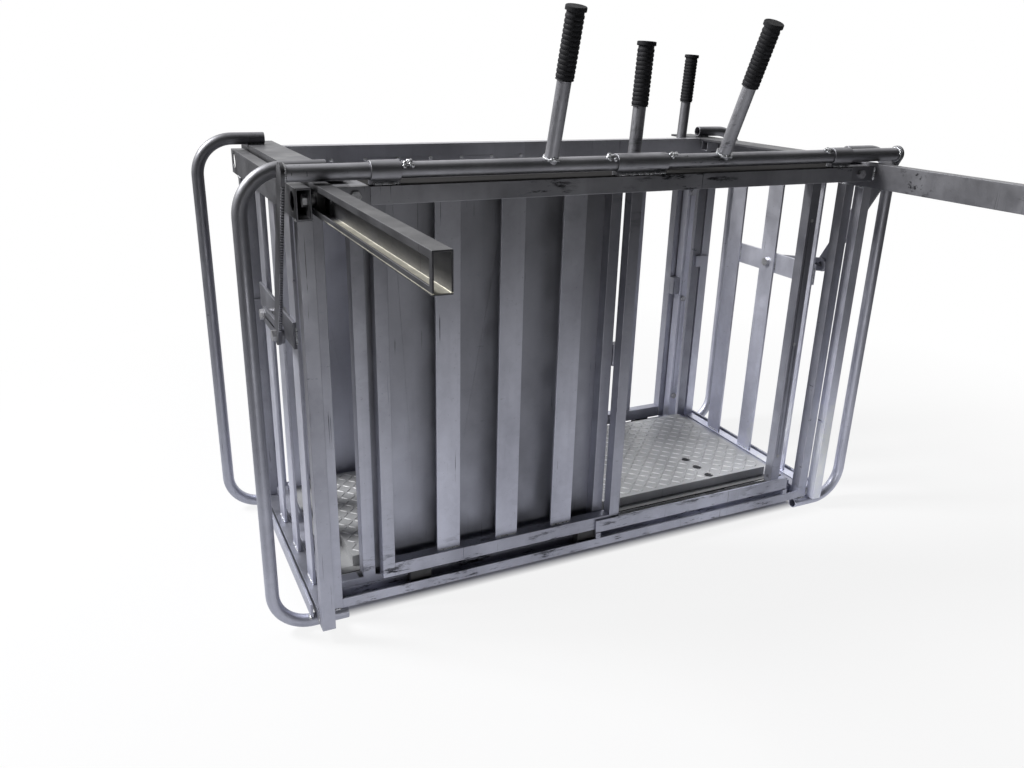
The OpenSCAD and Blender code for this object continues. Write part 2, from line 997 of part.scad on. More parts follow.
// Frame of the handle: its foot stands on the top of the right stile
module handle_place() {
    translate([door_right - post / 2 - 8, (door_front + door_back) / 2, door_top])
        rotate([0, handle_lean, 0])
            children();
}

module door_handle(length) {
    difference() {
        handle_place()
            difference() {
                translate([0, 0, -5])
                    cylinder(h = length - 1, d = lever_d);
                translate([0, 0, -6])
                    cylinder(h = length + 6, d = lever_d - 2 * wall);
            }
        bar([door_left, door_front - post, door_low], [door_right + post, door_back + post, door_top]);
    }
}

module door_grip(length) {
    handle_place()
        translate([0, 0, length - grip_length])
            grip();
}

module near_door() {
    near_side()
        children();
}

module far_door() {
    translate([door_travel, 0, 0])
        far_side()
            children();
}

module near_door_stiles() {
    color(steel)
        near_door()
            door_stiles();
}

module near_door_slats() {
    color(bright_steel)
        near_door()
            door_slat_bars();
}

module near_door_rails() {
    color(steel)
        near_door()
            door_rails();
}

module near_door_handle() {
    color(bright_steel)
        near_door()
            door_handle(near_handle_length);
}

module near_door_grip() {
    color(rubber)
        near_door()
            door_grip(near_handle_length);
}

module near_door_glides() {
    color(nylon)
        near_door()
            door_glides();
}

module far_door_stiles() {
    color(steel)
        far_door()
            door_stiles();
}

module far_door_slats() {
    color(bright_steel)
        far_door()
            door_slat_bars();
}

module far_door_rails() {
    color(steel)
        far_door()
            door_rails();
}

module far_door_handle() {
    color(bright_steel)
        far_door()
            door_handle(far_handle_length);
}

module far_door_grip() {
    color(rubber)
        far_door()
            door_grip(far_handle_length);
}

module far_door_glides() {
    color(nylon)
        far_door()
            door_glides();
}

echo(left_gate_travel = pin_y(left_crank_lean) - pin_y(-open_crank_lean));
echo(right_gate_travel = pin_y(right_crank_lean) - pin_y(-open_crank_lean));
echo(left_link_turn = link_tilt(-open_crank_lean) - link_tilt(left_crank_lean));
echo(right_link_turn = link_tilt(-open_crank_lean) - link_tilt(right_crank_lean));

gate_track(-1);  // left_gate_track
gate_track(1);  // right_gate_track
end_posts();
end_sills();
end_top_plates();
gate_guide_lips();
end_loops(-1);  // left_loops
end_loops(1);  // right_loops
near_top_rail();
far_top_rail();
rail_sockets();
rail_bolts();
bottom_channels();
near_side_frame();
far_side_frame();
near_side_sheet();
far_side_sheet();
sheet_rivets();
door_guide_strips();
floor_plate();
floor_bearers();
floor_joists();
shaft_bearings();
stile_bolts();
lever_shaft(-1);  // left_shaft
lever_tube(-1);  // left_lever_tube
lever_grip(-1);  // left_lever_grip
crank(-1);  // left_crank
crank_bolt(-1);  // left_crank_bolt
link(-1);  // left_link
lever_shaft(1);  // right_shaft
lever_tube(1);  // right_lever_tube
lever_grip(1);  // right_lever_grip
crank(1);  // right_crank
crank_bolt(1);  // right_crank_bolt
link(1);  // right_link
gate_top_tube(-1);  // left_gate_top_tube
gate_stiles(-1);  // left_gate_stiles
gate_slat_bars(-1);  // left_gate_slats
gate_rails(-1);  // left_gate_rails
gate_glides(-1);  // left_gate_glides
gate_bolts(-1);  // left_gate_bolts
gate_top_tube(1);  // right_gate_top_tube
gate_stiles(1);  // right_gate_stiles
gate_slat_bars(1);  // right_gate_slats
gate_rails(1);  // right_gate_rails
gate_glides(1);  // right_gate_glides
gate_bolts(1);  // right_gate_bolts
near_door_stiles();
near_door_slats();
near_door_rails();
near_door_handle();
near_door_grip();
near_door_glides();
far_door_stiles();
far_door_slats();
far_door_rails();
far_door_handle();
far_door_grip();
far_door_glides();
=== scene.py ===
"""Galvanised sheep weighing crate: finishes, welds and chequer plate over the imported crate.
"""

import json
import math
import random

import bmesh
import bpy
from bpy.props import FloatProperty, FloatVectorProperty, PointerProperty
from mathutils import Matrix, Vector


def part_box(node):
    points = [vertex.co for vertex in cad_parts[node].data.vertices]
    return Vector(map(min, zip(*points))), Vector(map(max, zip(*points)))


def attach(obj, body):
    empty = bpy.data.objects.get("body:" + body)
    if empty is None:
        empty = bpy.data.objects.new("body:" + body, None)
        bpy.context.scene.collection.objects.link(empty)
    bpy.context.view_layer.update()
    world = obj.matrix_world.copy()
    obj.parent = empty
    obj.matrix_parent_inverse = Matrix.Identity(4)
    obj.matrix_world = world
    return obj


bl_info = {
    "name": "Sheep weighing crate",
    "version": (1, 0, 0),
    "blender": (4, 5, 0),
    "location": "View3D > Sidebar > Crate",
    "description": "Dresses the weighing crate with zinc, welds, chequer plate and rubber",
    "category": "Object",
}

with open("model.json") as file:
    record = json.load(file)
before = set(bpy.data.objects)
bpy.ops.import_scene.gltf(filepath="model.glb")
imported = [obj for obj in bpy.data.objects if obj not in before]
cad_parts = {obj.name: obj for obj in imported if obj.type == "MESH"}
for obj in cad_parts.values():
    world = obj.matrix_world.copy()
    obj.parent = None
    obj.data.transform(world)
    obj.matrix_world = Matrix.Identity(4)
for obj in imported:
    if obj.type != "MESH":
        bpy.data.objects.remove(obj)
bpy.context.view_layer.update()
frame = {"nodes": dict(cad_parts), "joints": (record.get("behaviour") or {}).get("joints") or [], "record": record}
NODES = frame["nodes"]
SLOTS = {part["node"]: part["material_slot"] for part in frame["record"]["subparts"]}
MM = 0.001
# Painted light and shade: lighter copies of the zinc for the pieces that stand in light, darker ones for those in
# shade
PAINTED_LIGHT_TONES = {
    "dull": ("end_top_plates", "left_gate_rails", "left_gate_top", "left_link"),
    "worn": ("left_gate_track", "left_crank"),
    "fresh": (
        "right_gate_slats", "right_gate_stiles", "right_gate_rails", "right_gate_top", "far_side_frame"),
    "clean": (
        "near_door_slats", "right_loops", "left_lever", "right_lever", "left_shaft", "right_shaft",
        "shaft_bearings", "left_gate_slats"),
}
# Painted light on the side sheets: factor on their colours, which paints the far sheet lighter, and the painted
# tones near the ground and at the top
SHEET_PAINTED_LIGHT = {"near": (1.0, (1.1, 0.85)), "far": (1.8, (1.0, 1.0))}
LOW_PAINTED_REFLECTION = (1.0, 1.0, 1.04)  # painted reflection of the bright ground, on the zinc near the ground
TOP_PAINTED_SHADE = (1.0, 0.98, 0.94)  # painted shade on the zinc at the top rails
PAINTED_LIGHT_HEIGHTS = (0.10, 0.85)  # between which one tint gives way to the other
DIRT_AND_SHADE_COVER = 0.95  # share of the zinc that thick dirt and painted shade hide
DIRT_AND_SHADE_TOP = 0.066  # height up to which dirt and painted shade lie inside the crate
DIRT_AND_SHADE_FULL = 0.060  # height below which that dirt and painted shade are full
LEFT_END_SHADE_X = (-0.30, -0.48)  # X where the painted shade on the floor plate's left end starts and is darkest
# Black smears on the near bottom channel and the near rail, as X and radius
CHANNEL_SMEARS = ((-0.48, 0.11), (-0.30, 0.11), (-0.12, 0.09), (0.06, 0.10), (0.27, 0.10), (0.49, 0.11))
RAIL_SMEARS = ((0.10, 0.16), (-0.20, 0.07))
TRACK_SMEAR = (0.11, 0.055)  # distance out from the near rail, and radius
BEAD_INSET = 0.003  # how far most weld beads end short of an edge
THIN_BEAD, LEVER_BEAD, HEAVY_BEAD = 0.75, 0.9, 1.25  # sizes of weld beads, against the plain bead
GATES = ("left", "right")
DOORS = ("near", "far")


# Sizes and colours that a user would change

def colour(name, words, value):
    """A colour property, shown as a swatch."""
    return FloatVectorProperty(
        name=name, description=words, default=value, subtype="COLOR", size=3, min=0.0, max=1.0)


def number(name, words, value, **settings):
    """A number property."""
    return FloatProperty(name=name, description=words, default=value, **settings)


def length(name, words, millimetres):
    """A length property, given in millimetres and kept in metres."""
    return number(name, words, millimetres * MM, unit="LENGTH", min=0.0)


def tone(name, words, value):
    """A factor on the colour of the plain zinc."""
    return number(name, f"{words}, against the plain zinc", value, min=0.1, max=2.5)


def share(name, words, value):
    """A factor from 0 to 1."""
    return number(name, words, value, subtype="FACTOR", min=0.0, max=1.0)


def position(name, words, value):
    """A place property, in metres."""
    return FloatVectorProperty(name=name, description=words, default=value, size=3, unit="LENGTH")


def angle(name, words, degrees):
    """An angle property, given in degrees."""
    return number(name, words, math.radians(degrees), subtype="ANGLE")


class CrateFinish(bpy.types.PropertyGroup):
    """Colours and gloss of the crate's surfaces."""

    zinc_light: colour("Light zinc", "Palest tone of the galvanised steel", (0.46, 0.47, 0.52))
    zinc_dark: colour("Dark zinc", "Darkest tone of the galvanised steel", (0.27, 0.275, 0.31))
    sheet_light: colour("Light sheet", "Palest tone of the side sheets", (0.40, 0.41, 0.46))
    sheet_dark: colour("Dark sheet", "Cloudy patches of the side sheets", (0.22, 0.225, 0.25))
    plate_light: colour("Light plate", "Palest tone of the floor plate", (0.53, 0.535, 0.525))
    plate_dark: colour("Dark plate", "Darkest tone of the floor plate", (0.40, 0.405, 0.40))
    bright_zinc: colour("Bright zinc", "Tone of the bolts and rivets", (0.58, 0.58, 0.60))
    weld: colour("Weld", "Tone of the weld beads", (0.62, 0.63, 0.65))
    scuff: colour("Scuff", "Tone of rubbed-on black marks", (0.025, 0.025, 0.03))
    # Painted sunlight: the rubbed colour is a warm, bright patch on the floor inside the left track
    rubbed: colour("Rubbed zinc", "Tone of the bare track where the glide blocks run", (0.86, 0.83, 0.70))
    rubber: colour("Rubber", "Tone of the grips", (0.012, 0.012, 0.014))
    # Painted shade: the glides are made near black for the shade they sit in
    nylon: colour("Nylon", "Tone of the glide blocks", (0.05, 0.05, 0.052))
    # Dirt and painted shade: the dirt colour lies low inside the crate, under the floor and, as a painted shadow,
    # on top of the near rail
    dirt: colour("Dirt", "Tone of the grime under the floor and on the near rail", (0.016, 0.015, 0.014))
    # Painted light and shade: these factors brighten the zinc of pieces that stand in light and darken it on
    # pieces in shade
    fresh: tone("Fresh zinc", "Tone of the newest pieces", 1.9)
    clean: tone("Clean zinc", "Tone of the rubbed pieces", 1.35)
    dull: tone("Dull zinc", "Tone of the weathered pieces", 0.62)
    worn: tone("Worn zinc", "Tone of the oldest pieces", 0.42)
    metal: share("Metal", "How far the zinc mirrors its surroundings", 0.85)
    roughness: share("Roughness", "Mean roughness of the zinc", 0.46)


class CrateDetail(bpy.types.PropertyGroup):
    """Sizes of the small forms that are laid on the crate."""

    edge: length("Edge", "Rounding of the tube edges", 0.8)
    thin_edge: length("Thin edge", "Rounding of sheets, bolts and grips", 0.4)
    lug_length: length("Lug length", "Length of a chequer-plate lug", 22)
    lug_width: length("Lug width", "Width of a chequer-plate lug", 4.4)
    lug_height: length("Lug height", "Height of a chequer-plate lug", 1.6)
    lug_pitch: length("Lug pitch", "Distance between lugs in a row", 19)
    bead: length("Weld bead", "Radius of a weld bead", 3.0)
    bead_step: length("Bead step", "Distance between the ripples of a weld bead", 3.2)
    tooth: length("Crank tooth", "Pitch of the cut marks along a crank's edge", 5)
    tooth_height: length("Tooth height", "Height of the cut marks along a crank's edge", 0.6)


class CrateStage(bpy.types.PropertyGroup):
    """Camera, lamps and floor."""

    camera_place: position("Camera place", "Where the camera stands", (-0.92165, -1.4505, 1.045))
    azimuth: angle("Azimuth", "Turn of the view from +Y towards +X", 25.99)
    elevation: angle("Elevation", "How far the view looks down", 20.66)
    roll: angle("Roll", "Turn of the camera about its view", 1.46)
    lens: number("Lens", "Focal length for a 36 mm sensor, in millimetres", 30.5)
    key_place: position("Key place", "Where the lamp on the left stands", (-3.0, 1.3, 3.5))
    key_power: number("Key", "Power of the lamp on the left", 260.0, subtype="POWER")
    fill_power: number("Fill", "Power of the low front lamp", 2.0, subtype="POWER")
    sky: share("Sky", "Strength of the light all round", 0.28)
    dark_side: share("Dark side", "Brightness behind the camera, against 1 for the backdrop", 0.03)
    floor: colour("Floor", "Colour of the floor", (0.70, 0.70, 0.72))
    floor_glow: share("Floor glow", "Brightness of the near floor in the metal", 0.75)
    glow_colour: colour("Glow colour", "Cool tone of the floor in the metal", (0.95, 0.96, 1.0))


# Places worked out from the crate's own pieces

def corners(points):
    """Low and high corner of the box round some points."""
    columns = list(zip(*points))
    return Vector([min(c) for c in columns]), Vector([max(c) for c in columns])


def islands(node):
    """Boxes of the separate solids of a CAD node, as (low, high), sorted by place."""
    mesh = NODES[node].data
    keys = [tuple(round(c, 5) for c in v.co) for v in mesh.vertices]
    parent = {key: key for key in keys}

    def top(key):
        while parent[key] != key:
            parent[key] = parent[parent[key]]
            key = parent[key]
        return key

    for face in mesh.polygons:
        first = top(keys[face.vertices[0]])
        for index in face.vertices[1:]:
            parent[top(keys[index])] = first
    groups = {}
    for key in parent:
        groups.setdefault(top(key), []).append(key)
    boxes = [corners(points) for points in groups.values()]
    return sorted(boxes, key=lambda box: tuple(round(c, 4) for c in box[0]))


def middle(box):
    """Middle of a (low, high) box."""
    return (box[0] + box[1]) / 2


def lever_pivot(side):
    """Where a lever turns."""
    joint = next(j for j in frame["joints"] if j["name"] == f"{side}_lever_turn")
    return Vector(joint["pos_m"])


def plate_rim():
    """Corners, as (low, high), of the floor plate's level top, without the flange at its foot."""
    flat = 0.0005
    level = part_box("floor_plate")[1].z
    return corners([v.co for v in NODES["floor_plate"].data.vertices if v.co.z > level - flat])


# Meshes

def add_object(name, data):
    """A new object in the scene."""
    added = bpy.data.objects.new(name, data)
    bpy.context.scene.collection.objects.link(added)
    return added


def new_piece(name, mesh_builder, body, finish):
    """A mesh object made by mesh_builder, riding on a body, with its finish."""
    mesh = bpy.data.meshes.new(name)
    bm = bmesh.new()
    mesh_builder(bm)
    bmesh.ops.recalc_face_normals(bm, faces=bm.faces)
    bm.to_mesh(mesh)
    bm.free()
    for face in mesh.polygons:
        face.use_smooth = True
    piece = add_object(name, mesh)
    mesh.materials.append(finish)
    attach(piece, body)


def add_skin(bm, ring, following):
    """Faces from one closed ring of corners to the next."""
    for k, corner in enumerate(ring):
        after = (k + 1) % len(ring)
        bm.faces.new((corner, ring[after], following[after], following[k]))


def add_tube(bm, points, radius_at, sides=8):
    """Closed tube along points; radius_at gives its radius from the share along the path."""
    rings = []
    last = len(points) - 1
    for index, point in enumerate(points):
        ahead = points[min(index + 1, last)] - points[max(index - 1, 0)]
        ahead.normalize()
        side = side - ahead * side.dot(ahead) if rings else ahead.orthogonal()
        side.normalize()
        up = ahead.cross(side)
        size = radius_at(index / last)
        rings.append([
            bm.verts.new(point + (side * math.cos(turn) + up * math.sin(turn)) * size)
            for turn in (2 * math.pi * k / sides for k in range(sides))
        ])
    for ring, following in zip(rings, rings[1:]):
        add_skin(bm, ring, following)
    for ring in (rings[0], rings[-1]):
        bm.faces.new(ring)


def add_bead(bm, start, end, radius, step, chance):
    """Weld bead from start to end: a rippled, slightly wandering tube with round ends."""
    start, end = Vector(start), Vector(end)
    run = (end - start).length
    ripples = max(2, round(run / step))
    points = []
    for k in range(ripples * 4 + 1):
        wander = Vector([chance.uniform(-0.12, 0.12) * radius for _ in range(3)])
        points.append(start.lerp(end, k / (ripples * 4)) + wander)
    sizes = [chance.uniform(0.88, 1.08) for _ in range(ripples + 1)]

    def swell(part):
        place = part * ripples
        ripple = 0.86 + 0.14 * math.cos(2 * math.pi * place)
        ends = min(1.0, 0.35 + 2.2 * min(part, 1 - part) * ripples / 2)
        return radius * ripple * ends * sizes[min(int(place), ripples)]

    add_tube(bm, points, swell)


def add_ring_bead(bm, centre, axis, ring_radius, radius, step, chance):
    """Closed weld bead round an axis."""
    axis = Vector(axis).normalized()
    side = axis.orthogonal().normalized()
    up = axis.cross(side)
    around = max(16, round(2 * math.pi * ring_radius / step) * 4)
    sides = 8
    rings = []
    for k in range(around):
        turn = 2 * math.pi * k / around
        out = side * math.cos(turn) + up * math.sin(turn)
        size = radius * (0.88 + 0.14 * math.cos(math.pi * k / 2) + chance.uniform(-0.06, 0.06))
        rings.append([
            bm.verts.new(
                centre + out * (ring_radius + math.cos(a) * size) + axis * math.sin(a) * size)
            for a in (2 * math.pi * j / sides for j in range(sides))
        ])
    for ring, following in zip(rings, rings[1:] + rings[:1]):
        add_skin(bm, ring, following)


def add_lump(bm, centre, radius, chance):
    """Drop of weld metal: an uneven ball."""
    ball = bmesh.ops.create_icosphere(bm, subdivisions=2, radius=radius, matrix=Matrix.Translation(centre))
    for vertex in ball["verts"]:
        out = vertex.co - centre
        vertex.co = centre + out * chance.uniform(0.74, 1.18)


def bead_x(low, high, y, z, inset=BEAD_INSET):
    """Start and end of a bead along X, between the ends of a box."""
    return (low.x + inset, y, z), (high.x - inset, y, z)


def bead_y(x, low, high, z, inset=BEAD_INSET):
    """Start and end of a bead along Y."""
    return (x, low.y + inset, z), (x, high.y - inset, z)


def bead_z(x, y, low, high, inset=BEAD_INSET):
    """Start and end of a bead along Z."""
    return (x, y, low.z + inset), (x, y, high.z - inset)


def weld_piece(name, body, scale, lines=(), rings=(), lumps=()):
    """One object of weld metal, with its beads scaled against the plain bead.

    Lines are (start, end), rings are (centre, axis, radius) and lumps are (centre, radius).
    """
    detail = bpy.context.scene.crate_detail
    chance = random.Random(name)

    def build(bm):
        for start, end in lines:
            add_bead(bm, start, end, detail.bead * scale, detail.bead_step, chance)
        for centre, axis, radius in rings:
            add_ring_bead(bm, centre, axis, radius, detail.bead * scale, detail.bead_step, chance)
        for centre, radius in lumps:
            add_lump(bm, centre, radius, chance)

    new_piece(name, build, body, weld_metal())


# Finishes

class Tree:
    """The nodes of a finish or of the sky, added and linked in few words."""

    def __init__(self, owner, shader="Principled BSDF", place="Object"):
        owner.use_nodes = True
        self.owner = owner
        self.nodes = owner.node_tree.nodes
        self.links = owner.node_tree.links
        self.shader = self.nodes[shader]
        self.place = self.nodes.new("ShaderNodeTexCoord").outputs[place]

    def add(self, kind, inputs=None, **settings):
        """A node with its settings; inputs are values or sockets by name or number."""
        node = self.nodes.new(kind)
        for key, value in settings.items():
            setattr(node, key, value)
        for key, value in (inputs or {}).items():
            self.feed(node.inputs[key], value)
        return node

    def feed(self, socket, value):
        if isinstance(value, bpy.types.NodeSocket):
            self.links.new(value, socket)
        else:
            socket.default_value = value

    def noise(self, scale, detail=3.0, roughness=0.55, stretch=None):
        """Noise from 0 to 1 at the crate's own coordinates."""
        place = self.place
        if stretch:
            place = self.add("ShaderNodeMapping", {"Vector": self.place, "Scale": stretch}).outputs[0]
        node = self.add(
            "ShaderNodeTexNoise",
            {"Vector": place, "Scale": scale, "Detail": detail, "Roughness": roughness})
        return node.outputs[0]

    def remap(self, value, low, high, to_low=0.0, to_high=1.0):
        node = self.add(
            "ShaderNodeMapRange",
            {"Value": value, "From Min": low, "From Max": high, "To Min": to_low, "To Max": to_high})
        return node.outputs[0]

    def math(self, operation, first, second=0.0):
        return self.add("ShaderNodeMath", {0: first, 1: second}, operation=operation).outputs[0]

    def mix(self, factor, first, second, blend="MIX"):
        node = self.add("ShaderNodeMix", data_type="RGBA", blend_type=blend)
        self.feed(node.inputs["Factor"], factor)
        for socket, value in ((node.inputs[6], first), (node.inputs[7], second)):
            self.feed(socket, value if isinstance(value, bpy.types.NodeSocket) else (*value, 1.0))
        return node.outputs[2]

    def spot(self):
        """The place on the crate, or the way into the sky, as outputs X, Y and Z."""
        return self.add("ShaderNodeSeparateXYZ", {0: self.place}).outputs

    def times(self, *values):
        """The product of several numbers."""
        product = values[0]
        for value in values[1:]:
            product = self.math("MULTIPLY", product, value)
        return product

    def mirrored(self, path):
        """1 for rays that come from metal or glass."""
        return self.math("MAXIMUM", path["Is Glossy Ray"], path["Is Transmission Ray"])

    def near(self, centre, radius):
        """1 at a place on the crate, fading to 0 at a radius."""
        gap = self.add(
            "ShaderNodeVectorMath", {0: self.place, 1: centre}, operation="DISTANCE").outputs["Value"]
        return self.remap(gap, radius, radius * 0.35)

    def bump(self, height, strength, distance):
        node = self.add("ShaderNodeBump", {"Height": height, "Strength": strength, "Distance": distance})
        self.links.new(node.outputs[0], self.shader.inputs["Normal"])

    def set(self, **values):
        """Values or sockets for the shader's own inputs."""
        names = {"metal": "Metallic", "colour": "Base Color", "rough": "Roughness", "ior": "IOR"}
        for key, value in values.items():
            self.feed(self.shader.inputs[names[key]], value)


def kept(build):
    """A finish is made once for each of its words, from the crate's colours, and then shared."""
    made = {}

    def finish(*words):
        if words not in made:
            made[words] = build(bpy.context.scene.crate_finish, *words)
        return made[words]

    return finish


def shade(colours, factor):
    """A colour made darker or lighter."""
    return tuple(min(1.0, c * factor) for c in colours)


def zinc(
        name, light, dark, cloud_scale=5.0, scuff_amount=0.75, spangle=0.05, marks=(), dirt_and_shade=None,
        ends=(1.2, 0.62), metal=None, rubbed=None, ior=1.5):
    """Galvanised steel: cloudy tone, faint spangle, grain, streaks, black scuffs, scratches, and dirt with painted
    shade.

    The ends are painted light and shade by height: the tone near the ground, lighter for the reflected bright
    ground, and the tone at the top, darker for shade. Where rubbed gives 1, the zinc takes a painted patch of warm
    sunlight.
    A low ior keeps the dirt and painted shade from shining.
    """
    finish = bpy.context.scene.crate_finish
    tree = Tree(bpy.data.materials.new(name))
    clouds = tree.noise(cloud_scale, 4.0, 0.5, (1.0, 1.0, 0.45))
    base = tree.mix(tree.remap(clouds, 0.32, 0.68), dark, light)
    cells = tree.add(
        "ShaderNodeTexVoronoi", {"Vector": tree.place, "Scale": 95.0}, feature="F1").outputs["Color"]
    cell_tone = tree.add("ShaderNodeSeparateColor", {0: cells}).outputs[0]
    base = tree.mix(spangle * 2, base, tree.mix(cell_tone, dark, light))
    streaks = tree.remap(tree.noise(70.0, 2.0, 0.5, (1.0, 1.0, 0.06)), 0.55, 0.8, 0.0, 0.22)
    base = tree.mix(streaks, base, dark)
    specks = tree.remap(tree.noise(210.0, 2.0), 0.70, 0.76)
    rubs = tree.remap(tree.noise(24.0, 7.0, 0.72, (0.6, 0.6, 1.6)), 0.66, 0.71)
    scuffs = tree.times(tree.math("ADD", tree.times(specks, 0.4), rubs), scuff_amount)
    smear = tree.remap(tree.noise(46.0, 7.0, 0.72, (0.3, 1.0, 1.4)), 0.54, 0.62)
    for centre, radius in marks:
        scuffs = tree.math("MAXIMUM", scuffs, tree.times(tree.near(centre, radius), smear))
    lines = tree.remap(tree.noise(330.0, 1.0, 0.5, (1.0, 1.0, 0.015)), 0.70, 0.74)
    scratched = tree.remap(tree.noise(9.0, 4.0), 0.52, 0.58, 0.0, scuff_amount)
    scuffs = tree.math("MAXIMUM", scuffs, tree.times(lines, scratched))
    base = tree.mix(scuffs, base, finish.scuff)
    # Painted light and shade by height: lighter and bluer near the ground, darker and warmer at the top
    height = tree.remap(tree.spot()["Z"], *PAINTED_LIGHT_HEIGHTS)
    low_reflection_tone, top_shade_tone = [c * ends[0] for c in LOW_PAINTED_REFLECTION], [c * ends[1] for c in TOP_PAINTED_SHADE]
    base = tree.mix(1.0, base, tree.mix(height, low_reflection_tone, top_shade_tone), "MULTIPLY")
    rough = tree.remap(tree.noise(18.0, 5.0, 0.6), 0.3, 0.7, finish.roughness - 0.1, finish.roughness + 0.12)
    gloss = finish.metal if metal is None else metal
    # Painted sunlight where rubbed gives 1
    if rubbed:
        base = tree.mix(rubbed(tree), base, finish.rubbed)
    # Dirt and painted shade where the mask gives 1
    if dirt_and_shade:
        dirt_and_shade_cover = tree.times(dirt_and_shade(tree), DIRT_AND_SHADE_COVER)
        base = tree.mix(dirt_and_shade_cover, base, finish.dirt)
        rough = tree.math("MAXIMUM", rough, dirt_and_shade_cover)
        gloss = tree.remap(dirt_and_shade_cover, 0.0, 1.0, gloss, 0.0)
    grain = tree.math("ADD", tree.noise(420.0, 2.0), tree.times(clouds, 2.0))
    tree.bump(grain, 0.12, 0.0006)
    tree.set(metal=gloss, colour=base, rough=rough, ior=ior)
    return tree.owner


# Dirt and painted shade low inside the crate
def low_dirt_and_shade(tree):
    """1 low down inside the crate, between the bottom channels, and 0 higher up."""
    spot = tree.spot()
    fade = 0.004
    past_joists = 0.006
    channels = islands("bottom_channels")
    near, far = channels[0][1].y, channels[-1][0].y
    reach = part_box("floor_joists")[1].x + past_joists
    return tree.times(
        tree.remap(spot["Y"], near, near + fade),
        tree.remap(spot["Y"], far, far - fade),
        tree.remap(tree.math("ABSOLUTE", spot["X"]), reach, reach - fade),
        tree.remap(spot["Z"], DIRT_AND_SHADE_TOP, DIRT_AND_SHADE_FULL),
        tree.remap(tree.noise(30.0, 5.0), 0.25, 0.5, 0.6, 1.0))


def plate_dirt_and_shade(tree):
    """Dirt and painted shade of the floor plate: as on the tubes, painted shade all along its near flange, and
    thin painted shade at its left end.
    """
    edge = plate_rim()[0].y
    fade = 0.002
    spot = tree.spot()
    # The flange mask and the left-end mask are painted shade
    flange = tree.times(
        tree.remap(spot["Y"], edge + fade, edge), tree.remap(spot["Z"], DIRT_AND_SHADE_TOP, DIRT_AND_SHADE_FULL))
    patchy = tree.remap(tree.noise(16.0, 5.0), 0.3, 0.65, 0.75, 1.0)
    left_end_shade = tree.times(tree.remap(spot["X"], *LEFT_END_SHADE_X, 0.0, 0.5), patchy)
    return tree.math("MAXIMUM", low_dirt_and_shade(tree), tree.math("MAXIMUM", flange, left_end_shade))


def track_painted_sunlight(tree):
    """1 along the floor inside the left track, towards its front: a painted patch of sunlight."""
    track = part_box("left_gate_track")
    levels = sorted({round(v.co.z, 4) for v in NODES["left_gate_track"].data.vertices})
    thinnest_wall = 0.001
    inside = next(z for z in levels if z > track[0].z + thinnest_wall)
    film_edge, film_full = 0.0009, 0.0005
    run_edge, run_full = -0.13, -0.16
    spot = tree.spot()
    above = tree.math("SUBTRACT", spot["Z"], inside)
    return tree.times(
        tree.remap(tree.math("ABSOLUTE", above), film_edge, film_full),
        tree.remap(spot["Y"], run_edge, run_full),
        tree.remap(tree.noise(40.0, 5.0, 0.6, (1.0, 0.3, 1.0)), 0.3, 0.6, 0.55, 1.0))


def rail_painted_shadow(tree):
    """1 on top of the near rail: a painted shadow of the lever shafts."""
    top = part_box("near_top_rail")[1].z
    film_edge, film_full = 0.0012, 0.0003
    return tree.times(
        tree.remap(tree.spot()["Z"], top - film_edge, top - film_full),
        tree.remap(tree.noise(14.0, 5.0), 0.2, 0.45, 0.96, 1.0))


def smears(places, y, z):
    """Black smears along a piece, as (centre, radius)."""
    return [(Vector((x, y, z)), radius) for x, radius in places]


@kept
def zinc_tube(finish, tone_name):
    """Tube finish in a painted light or shade tone picked by tone_name, with black smears on the near rail,
    the right track and the near bottom channel, dirt and painted shade low inside the crate, and a painted
    patch of sunlight in the left track on the darkest tone.
    """
    factor = getattr(finish, tone_name) if tone_name else 1.0
    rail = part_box("near_top_rail")
    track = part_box("right_gate_track")
    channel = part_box("bottom_channels")
    above_foot = 0.012
    track_out, track_radius = TRACK_SMEAR
    marks = [
        *smears(RAIL_SMEARS[:1], rail[0].y, rail[1].z),
        (Vector((track[0].x, rail[0].y - track_out, middle(track).z)), track_radius),
        *smears(CHANNEL_SMEARS, channel[0].y, channel[0].z + above_foot),
    ]
    light, dark = shade(finish.zinc_light, factor), shade(finish.zinc_dark, factor)
    return zinc(
        f"zinc_tube_{tone_name or 'plain'}", light, dark, marks=marks, dirt_and_shade=low_dirt_and_shade,
        rubbed=track_painted_sunlight if tone_name == "worn" else None)


# Painted shadow of the lever shafts on top of the near rail
@kept
def rail_zinc(finish):
    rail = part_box("near_top_rail")
    paler = 1.4
    return zinc(
        "rail_zinc", shade(finish.zinc_light, paler), shade(finish.zinc_dark, paler),
        marks=smears(RAIL_SMEARS, rail[0].y, rail[1].z), dirt_and_shade=rail_painted_shadow, ior=1.12)


# Painted light on the side sheets: the far sheet lighter, the near one lighter low down and darker at the top
@kept
def sheet_zinc(finish, side):
    factor, ends = SHEET_PAINTED_LIGHT[side]
    return zinc(
        f"{side}_sheet_zinc", shade(finish.sheet_light, factor), shade(finish.sheet_dark, factor),
        cloud_scale=4.2, scuff_amount=0.35, spangle=0.02, ends=ends)


# Floor plate with dirt and painted shade
@kept
def floor_metal(finish):
    return zinc(
        "floor_metal", finish.plate_light, finish.plate_dark, cloud_scale=9.0, scuff_amount=0.3,
        spangle=0.03, dirt_and_shade=plate_dirt_and_shade, metal=0.45)


# Painted highlight: one family of chequer lugs made paler, for the light that catches their slopes
@kept
def lug_painted_highlight(finish):
    return zinc(
        "lug_painted_highlight", shade(finish.plate_light, 1.7), shade(finish.plate_light, 1.3), cloud_scale=9.0,
        scuff_amount=0.1, spangle=0.02, dirt_and_shade=plate_dirt_and_shade, metal=0.3)


